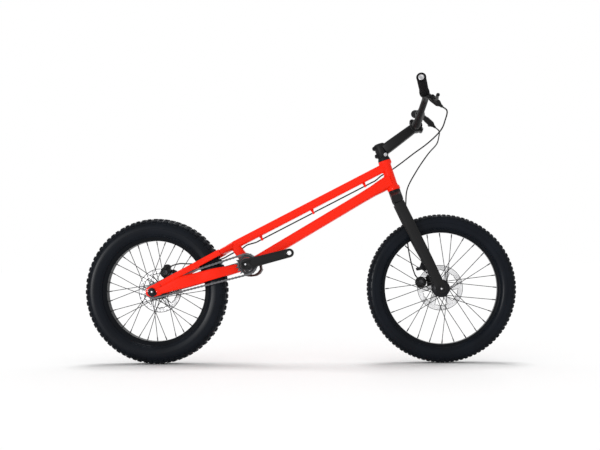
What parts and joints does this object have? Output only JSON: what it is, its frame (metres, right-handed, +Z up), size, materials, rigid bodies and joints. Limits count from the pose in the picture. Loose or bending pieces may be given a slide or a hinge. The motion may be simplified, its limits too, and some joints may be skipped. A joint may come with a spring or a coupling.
{
  "type": "trials bicycle",
  "caption": "Seatless trials bicycle with a low red frame, rigid black fork, high-rise stem and bar, knobbly tyres, disc brakes and a short crank-mounted freewheel drive.",
  "frame": {"origin": "on the ground under the middle of the bicycle's length, in the frame's middle plane", "axes": "+X forward, the way it rides, +Y to the rider's left, +Z up"},
  "size_m": [1.5362, 0.736, 0.9482],
  "materials": {
    "frame_paint": "gloss red",
    "fork_paint": "satin black",
    "black_metal": "black anodised, satin",
    "hub_black": "black anodised, gloss",
    "rim_black": "gloss black",
    "steel": "brushed",
    "tyre": "matt black",
    "foam": "matt black foam",
    "hose": "black",
    "chain_steel": "oiled dark steel",
    "skid_metal": "scuffed, dark reddish brown",
    "pad_metal": "sintered"
  },
  "bodies": {
    "frame": {"head_tube": "frame_paint", "headset_bearing_lower": "steel", "headset_bearing_upper": "steel", "top_tube": "frame_paint", "down_tube": "frame_paint", "seat_tube": "frame_paint", "seat_yoke": "frame_paint", "bb_shell": "frame_paint", "chainstay_left": "frame_paint", "chainstay_right": "frame_paint", "seatstay_left": "frame_paint", "seatstay_right": "frame_paint", "skid_plate": "skid_metal", "bb_bearing_left": "steel", "bb_bearing_right": "steel", "rear_axle": "steel", "rear_axle_nut": "steel", "snail_cam_left": "black_metal", "snail_cam_right": "black_metal", "rear_caliper": "black_metal", "rear_hose": "hose", "chain": "chain_steel"},
    "steering": {"fork_crown": "fork_paint", "fork_leg_right": "fork_paint", "fork_leg_left": "fork_paint", "headset_cover": "black_metal", "stem": "black_metal", "stem_faceplate": "black_metal", "top_cap": "black_metal", "handlebar": "black_metal", "grip_left": "foam", "grip_right": "foam", "lever_body_left": "black_metal", "lever_body_right": "black_metal", "front_caliper": "black_metal", "front_hose": "hose", "rear_hose_lead": "hose", "front_axle": "steel", "front_axle_nut": "steel"},
    "front_wheel": {"front_tyre": "tyre", "front_rim": "rim_black", "front_hub": "hub_black", "front_rotor": "steel"},
    "rear_wheel": {"rear_tyre": "tyre", "rear_rim": "rim_black", "rear_hub": "hub_black", "rear_rotor": "steel", "rear_cog": "chain_steel"},
    "cranks": {"crank_right": "black_metal", "crank_left": "black_metal", "crank_spindle": "steel", "freewheel_core": "chain_steel"},
    "freewheel": {"freewheel_ring": "chain_steel"},
    "brake_lever_left": {"lever_blade_left": "black_metal"},
    "brake_lever_right": {"lever_blade_right": "black_metal"},
    "front_pad_outer": {"front_pad_outer": "pad_metal"},
    "front_pad_inner": {"front_pad_inner": "pad_metal"},
    "rear_pad_outer": {"rear_pad_outer": "pad_metal"},
    "rear_pad_inner": {"rear_pad_inner": "pad_metal"}
  },
  "joints": [
    {"name": "steer", "type": "hinge", "parent": "frame", "child": "steering", "pos_m": [0.35458, 0, 0.60659], "axis": [-0.2957, 0, 0.9553], "range_deg": [-75, 75], "deforming": ["rear_hose_lead"]},
    {"name": "front_wheel_spin", "type": "hinge", "parent": "steering", "child": "front_wheel", "pos_m": [0.50935, 0, 0.2588], "axis": [0, 1, 0], "continuous": true},
    {"name": "rear_wheel_spin", "type": "hinge", "parent": "frame", "child": "rear_wheel", "pos_m": [-0.50665, 0, 0.2615], "axis": [0, 1, 0], "continuous": true, "deforming": ["chain"]},
    {"name": "crank_spin", "type": "hinge", "parent": "frame", "child": "cranks", "pos_m": [-0.1699, 0, 0.3533], "axis": [0, 1, 0], "continuous": true},
    {"name": "freewheel_spin", "type": "hinge", "parent": "frame", "child": "freewheel", "pos_m": [-0.1699, -0.046, 0.3533], "axis": [0, 1, 0], "continuous": true},
    {"name": "left_lever_pull", "type": "hinge", "parent": "steering", "child": "brake_lever_left", "pos_m": [0.48375, 0.24487, 0.88858], "axis": [0.6787, -0.0461, 0.733], "range_deg": [0, 18], "stiffness_Nm_per_rad": 1.5, "springref_deg": -5.73},
    {"name": "right_lever_pull", "type": "hinge", "parent": "steering", "child": "brake_lever_right", "pos_m": [0.48375, -0.24487, 0.88858], "axis": [-0.6787, -0.0461, -0.733], "range_deg": [0, 18], "stiffness_Nm_per_rad": 1.5, "springref_deg": -5.73},
    {"name": "front_pad_outer_slide", "type": "slide", "parent": "steering", "child": "front_pad_outer", "axis": [0, -1, 0], "range_m": [0, 0.00025]},
    {"name": "front_pad_inner_slide", "type": "slide", "parent": "steering", "child": "front_pad_inner", "axis": [0, 1, 0], "range_m": [0, 0.00025]},
    {"name": "rear_pad_outer_slide", "type": "slide", "parent": "frame", "child": "rear_pad_outer", "axis": [0, -1, 0], "range_m": [0, 0.00025]},
    {"name": "rear_pad_inner_slide", "type": "slide", "parent": "frame", "child": "rear_pad_inner", "axis": [0, 1, 0], "range_m": [0, 0.00025]}
  ],
  "couplings": [
    {"joint": "freewheel_spin", "follows": "rear_wheel_spin", "ratio": 0.66667},
    {"joint": "front_pad_outer_slide", "follows": "left_lever_pull", "m_per_rad": 0.0007918},
    {"joint": "front_pad_inner_slide", "follows": "left_lever_pull", "m_per_rad": 0.0007918},
    {"joint": "rear_pad_outer_slide", "follows": "right_lever_pull", "m_per_rad": 0.0007918},
    {"joint": "rear_pad_inner_slide", "follows": "right_lever_pull", "m_per_rad": 0.0007918}
  ]
}
